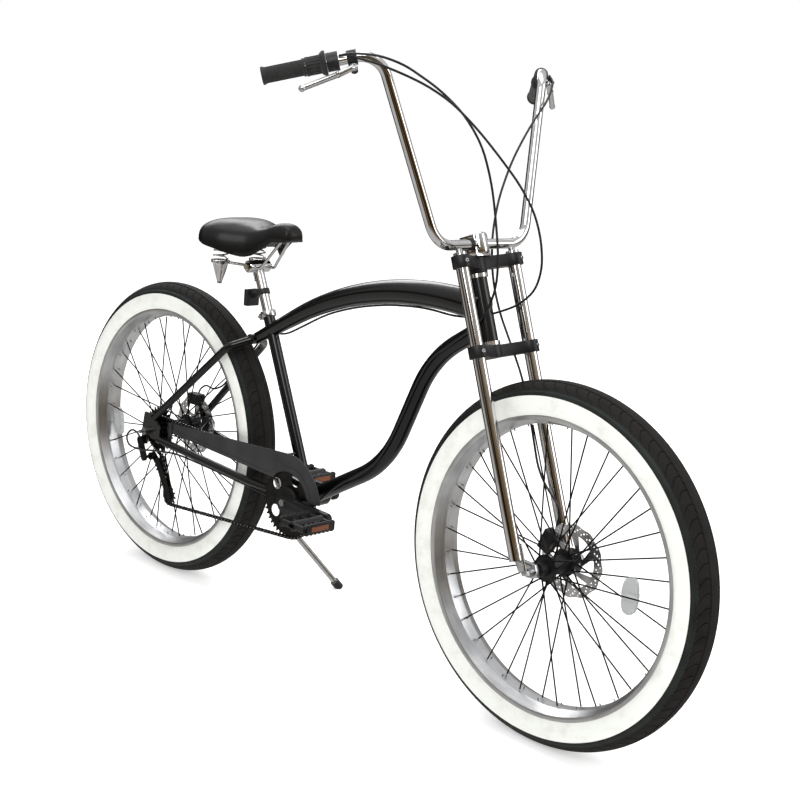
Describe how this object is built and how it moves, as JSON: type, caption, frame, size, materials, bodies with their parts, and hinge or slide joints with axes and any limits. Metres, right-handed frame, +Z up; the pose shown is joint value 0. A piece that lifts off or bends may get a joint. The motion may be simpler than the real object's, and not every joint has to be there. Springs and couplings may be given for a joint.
{
  "type": "beach cruiser bicycle",
  "caption": "Beach cruiser bicycle with an arched frame, high-rise handlebar, double-crown fork, balloon whitewall tyres, disc brakes, chain drive with derailleur, sprung saddle and kickstand.",
  "frame": {"origin": "floor level, midway between the two wheel axles and in the middle plane of the wheels", "axes": "+X forward, +Y to the rider's left, +Z up"},
  "size_m": [2.0837, 0.8664, 1.3944],
  "materials": {
    "tyre_rubber": "whitewall tyre, black tread",
    "rim_alloy": "bright anodised, brushed inner face",
    "spoke_black": "black oxide wire",
    "hub_black": "black anodised",
    "rotor_steel": "ground stainless",
    "frame_paint": "gloss black paint",
    "crown_paint": "satin black",
    "chrome": "bright chrome plate",
    "axle_steel": "zinc plated",
    "grip_rubber": "matte ribbed rubber",
    "lever_alloy": "polished",
    "black_plastic": "fine grain",
    "drive_black": "black phosphate",
    "guard_paint": "satin dark grey",
    "saddle_vinyl": "smooth black vinyl",
    "reflector_red": "moulded lens",
    "cable_sheath": "black outer casing",
    "stand_alloy": "satin"
  },
  "bodies": {
    "frame": {"head_tube": "frame_paint", "bearing_cups": "chrome", "top_tube": "frame_paint", "down_tube": "frame_paint", "seat_tube": "frame_paint", "bottom_bracket_shell": "frame_paint", "chain_stays": "frame_paint", "seat_stays": "frame_paint", "seat_clamp": "chrome", "chain_guard": "guard_paint", "rear_caliper": "crown_paint", "rear_brake_cable": "cable_sheath", "shift_cable": "cable_sheath", "kickstand_bracket": "stand_alloy", "derailleur_body": "drive_black", "rear_axle": "axle_steel", "chain": "drive_black"},
    "fork": {"steerer": "axle_steel", "upper_crown": "crown_paint", "lower_crown": "crown_paint", "fork_legs": "chrome", "fork_dropouts": "crown_paint", "stem": "chrome", "handlebar": "chrome", "grips": "grip_rubber", "control_brackets": "black_plastic", "front_caliper": "crown_paint", "front_brake_cable": "cable_sheath", "front_axle": "axle_steel"},
    "front_wheel": {"front_tyre": "tyre_rubber", "front_rim": "rim_alloy", "front_spokes": "spoke_black", "front_hub": "hub_black", "front_rotor": "rotor_steel"},
    "rear_wheel": {"rear_tyre": "tyre_rubber", "rear_rim": "rim_alloy", "rear_spokes": "spoke_black", "rear_hub": "hub_black", "rear_rotor": "rotor_steel"},
    "freewheel": {"freewheel": "drive_black"},
    "crank": {"crank_spindle": "axle_steel", "chainring": "drive_black", "right_crank_arm": "drive_black", "left_crank_arm": "drive_black"},
    "right_pedal": {"right_pedal": "black_plastic"},
    "left_pedal": {"left_pedal": "black_plastic"},
    "twist_grip": {"twist_grip": "grip_rubber"},
    "left_lever": {"left_brake_lever": "lever_alloy"},
    "right_lever": {"right_brake_lever": "lever_alloy"},
    "quick_release": {"quick_release_lever": "lever_alloy"},
    "derailleur_link": {"derailleur_knuckle": "drive_black"},
    "derailleur_cage": {"derailleur_cage": "drive_black"},
    "upper_jockey": {"upper_jockey_wheel": "black_plastic"},
    "lower_jockey": {"lower_jockey_wheel": "black_plastic"},
    "kickstand": {"kickstand_leg": "stand_alloy"},
    "seat_post": {"seat_post": "chrome", "saddle_frame": "chrome", "saddle": "saddle_vinyl", "saddle_springs": "chrome", "rear_reflector": "reflector_red"}
  },
  "joints": [
    {"name": "steering", "type": "hinge", "parent": "frame", "child": "fork", "pos_m": [0.5914, 0, 0.364], "axis": [-0.3584, 0, 0.9336], "range_deg": [-45, 45], "deforming": ["rear_brake_cable", "shift_cable"]},
    {"name": "front_wheel_spin", "type": "hinge", "parent": "fork", "child": "front_wheel", "pos_m": [0.654, 0, 0.388], "axis": [0, 1, 0], "continuous": true},
    {"name": "rear_wheel_spin", "type": "hinge", "parent": "frame", "child": "rear_wheel", "pos_m": [-0.654, 0, 0.388], "axis": [0, 1, 0], "continuous": true},
    {"name": "crank_spin", "type": "hinge", "parent": "frame", "child": "crank", "pos_m": [-0.108, 0, 0.334], "axis": [0, 1, 0], "continuous": true, "deforming": ["chain"]},
    {"name": "freewheel_spin", "type": "hinge", "parent": "frame", "child": "freewheel", "pos_m": [-0.654, 0, 0.388], "axis": [0, 1, 0], "continuous": true},
    {"name": "right_pedal_spin", "type": "hinge", "parent": "crank", "child": "right_pedal", "pos_m": [0.044, -0.141, 0.334], "axis": [0, 1, 0], "continuous": true},
    {"name": "left_pedal_spin", "type": "hinge", "parent": "crank", "child": "left_pedal", "pos_m": [-0.26, 0.141, 0.334], "axis": [0, 1, 0], "continuous": true},
    {"name": "twist_shift", "type": "hinge", "parent": "fork", "child": "twist_grip", "pos_m": [0.21086, -0.32978, 1.3628], "axis": [-0.654, -0.7053, -0.2736], "range_deg": [-60, 60]},
    {"name": "left_lever_pull", "type": "hinge", "parent": "fork", "child": "left_lever", "pos_m": [0.26141, 0.30231, 1.35919], "axis": [0.387, 0.6226, 0.6801], "range_deg": [0, 11], "stiffness_Nm_per_rad": 4, "springref_deg": -5.73},
    {"name": "right_lever_pull", "type": "hinge", "parent": "fork", "child": "right_lever", "pos_m": [0.26141, -0.30231, 1.35919], "axis": [-0.387, 0.6226, -0.6801], "range_deg": [0, 11], "stiffness_Nm_per_rad": 4, "springref_deg": -5.73},
    {"name": "quick_release_turn", "type": "hinge", "parent": "fork", "child": "quick_release", "pos_m": [0.654, -0.0939, 0.388], "axis": [0.9336, 0, 0.3584], "range_deg": [0, 150]},
    {"name": "derailleur_shift", "type": "slide", "parent": "frame", "child": "derailleur_link", "axis": [0, -1, 0], "range_m": [-0.0101, 0.0101], "deforming": ["chain"]},
    {"name": "cage_swing", "type": "hinge", "parent": "derailleur_link", "child": "derailleur_cage", "pos_m": [-0.647, -0.075, 0.3185], "axis": [0, 1, 0], "range_deg": [-20, 30], "stiffness_Nm_per_rad": 2, "deforming": ["chain"]},
    {"name": "upper_jockey_spin", "type": "hinge", "parent": "derailleur_cage", "child": "upper_jockey", "pos_m": [-0.625, -0.064, 0.298], "axis": [0, 1, 0], "continuous": true},
    {"name": "lower_jockey_spin", "type": "hinge", "parent": "derailleur_cage", "child": "lower_jockey", "pos_m": [-0.578, -0.064, 0.224], "axis": [0, 1, 0], "continuous": true},
    {"name": "kickstand_fold", "type": "hinge", "parent": "frame", "child": "kickstand", "pos_m": [-0.285, 0.076, 0.318], "axis": [0, 0.9397, 0.342], "range_deg": [0, 90]},
    {"name": "seat_post_slide", "type": "slide", "parent": "frame", "child": "seat_post", "axis": [-0.4179, 0, 0.9085], "range_m": [-0.02, 0.08]}
  ],
  "couplings": [
    {"joint": "freewheel_spin", "follows": "crank_spin", "ratio": 2.2},
    {"joint": "upper_jockey_spin", "follows": "crank_spin", "ratio": -4},
    {"joint": "lower_jockey_spin", "follows": "crank_spin", "ratio": 4},
    {"joint": "derailleur_shift", "follows": "twist_shift", "m_per_rad": 0.009549}
  ]
}
